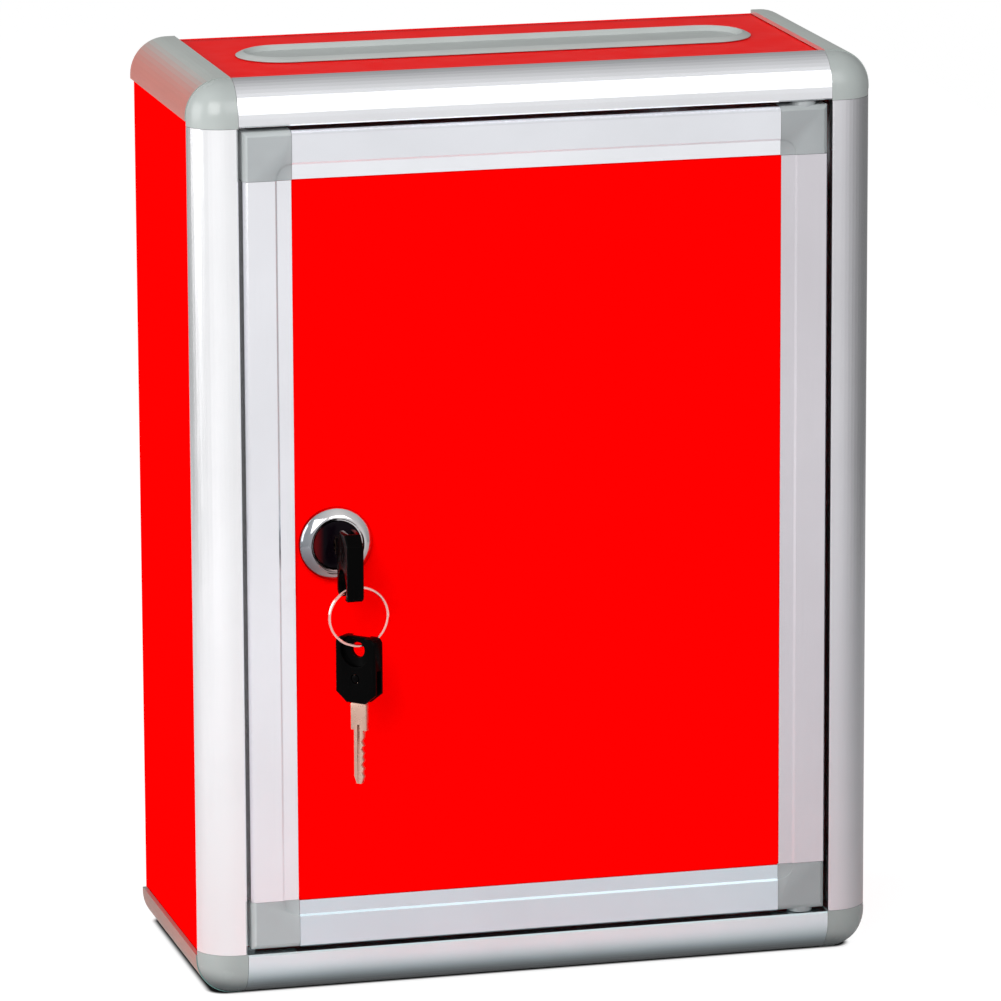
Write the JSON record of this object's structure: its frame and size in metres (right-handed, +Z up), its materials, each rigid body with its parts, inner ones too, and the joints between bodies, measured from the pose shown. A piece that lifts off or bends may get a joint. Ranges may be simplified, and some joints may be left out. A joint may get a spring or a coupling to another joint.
{
  "type": "suggestion box",
  "caption": "Lockable suggestion box of flat panels in rounded aluminium edge profiles, with a posting slot in the top, a hinged front door, a cam lock and folding keys on a ring.",
  "frame": {"origin": "middle of the underside of the bounding box, which includes the keys that stand out of the door", "axes": "+Z up towards the posting slot, -Y out of the door towards the viewer, +X towards the hinge side"},
  "size_m": [0.225, 0.1222, 0.2994],
  "materials": {
    "edge_profile": "satin anodised, silver",
    "grey_moulding": "moulded, satin grey",
    "trim_moulding": "moulded, light grey",
    "red_panel": "solid red sheet, low gloss",
    "steel": "plain nickel-plated steel",
    "chrome_lock": "polished chrome plate",
    "black_plastic": "moulded, glossy black"
  },
  "bodies": {
    "carcass": {"front_profile_left": "edge_profile", "front_profile_right": "edge_profile", "front_profile_top": "edge_profile", "front_profile_bottom": "edge_profile", "depth_profile_top_left": "edge_profile", "depth_profile_top_right": "edge_profile", "depth_profile_bottom_left": "edge_profile", "depth_profile_bottom_right": "edge_profile", "corner_top_left": "grey_moulding", "corner_top_right": "grey_moulding", "corner_bottom_left": "grey_moulding", "corner_bottom_right": "grey_moulding", "side_panel_left": "red_panel", "side_panel_right": "red_panel", "top_panel": "red_panel", "bottom_panel": "red_panel", "back_panel": "red_panel", "slot_trim": "trim_moulding", "back_screw_1": "steel", "back_screw_2": "steel", "back_screw_3": "steel", "back_screw_4": "steel"},
    "door": {"door_stile_left": "edge_profile", "door_stile_right": "edge_profile", "door_rail_top": "edge_profile", "door_rail_bottom": "edge_profile", "door_corner_top_left": "grey_moulding", "door_corner_top_right": "grey_moulding", "door_corner_bottom_left": "grey_moulding", "door_corner_bottom_right": "grey_moulding", "pivot_pin_top": "steel", "pivot_pin_bottom": "steel", "door_panel": "red_panel", "lock_body": "chrome_lock", "lock_nut": "steel"},
    "plug": {"lock_plug": "chrome_lock", "lock_cam": "steel", "cam_screw": "steel"},
    "key_1": {"key_1_blade": "steel"},
    "key_1_fold_head": {"key_1_head": "black_plastic", "key_1_pin": "steel"},
    "ring": {"key_ring": "steel"},
    "key_2": {"key_2_head": "black_plastic", "key_2_pin": "steel"},
    "key_2_fold_blade": {"key_2_blade": "steel"}
  },
  "joints": [
    {"name": "door_hinge", "type": "hinge", "parent": "carcass", "child": "door", "pos_m": [0.089, -0.02945, 0.15], "axis": [0, 0, 1], "range_deg": [0, 115]},
    {"name": "lock_turn", "type": "hinge", "parent": "door", "child": "plug", "pos_m": [-0.0671, -0.03445, 0.149], "axis": [0, 1, 0], "range_deg": [0, 90]},
    {"name": "key_insert", "type": "slide", "parent": "plug", "child": "key_1", "axis": [0, -1, 0], "range_m": [0, 0.02]},
    {"name": "key_1_fold", "type": "hinge", "parent": "key_1", "child": "key_1_fold_head", "pos_m": [-0.0671, -0.05375, 0.149], "axis": [-1, 0, 0], "range_deg": [0, 90]},
    {"name": "ring_swing", "type": "hinge", "parent": "key_1_fold_head", "child": "ring", "pos_m": [-0.0671, -0.05375, 0.13855], "axis": [-1, 0, 0], "range_deg": [-8, 60]},
    {"name": "key_2_swing", "type": "hinge", "parent": "ring", "child": "key_2", "pos_m": [-0.0645, -0.05375, 0.11991], "axis": [-1, 0, 0], "range_deg": [-8, 25]},
    {"name": "key_2_fold", "type": "hinge", "parent": "key_2", "child": "key_2_fold_blade", "pos_m": [-0.0645, -0.05375, 0.10961], "axis": [-0.7071, -0.7071, 0], "range_deg": [0, 90]}
  ]
}
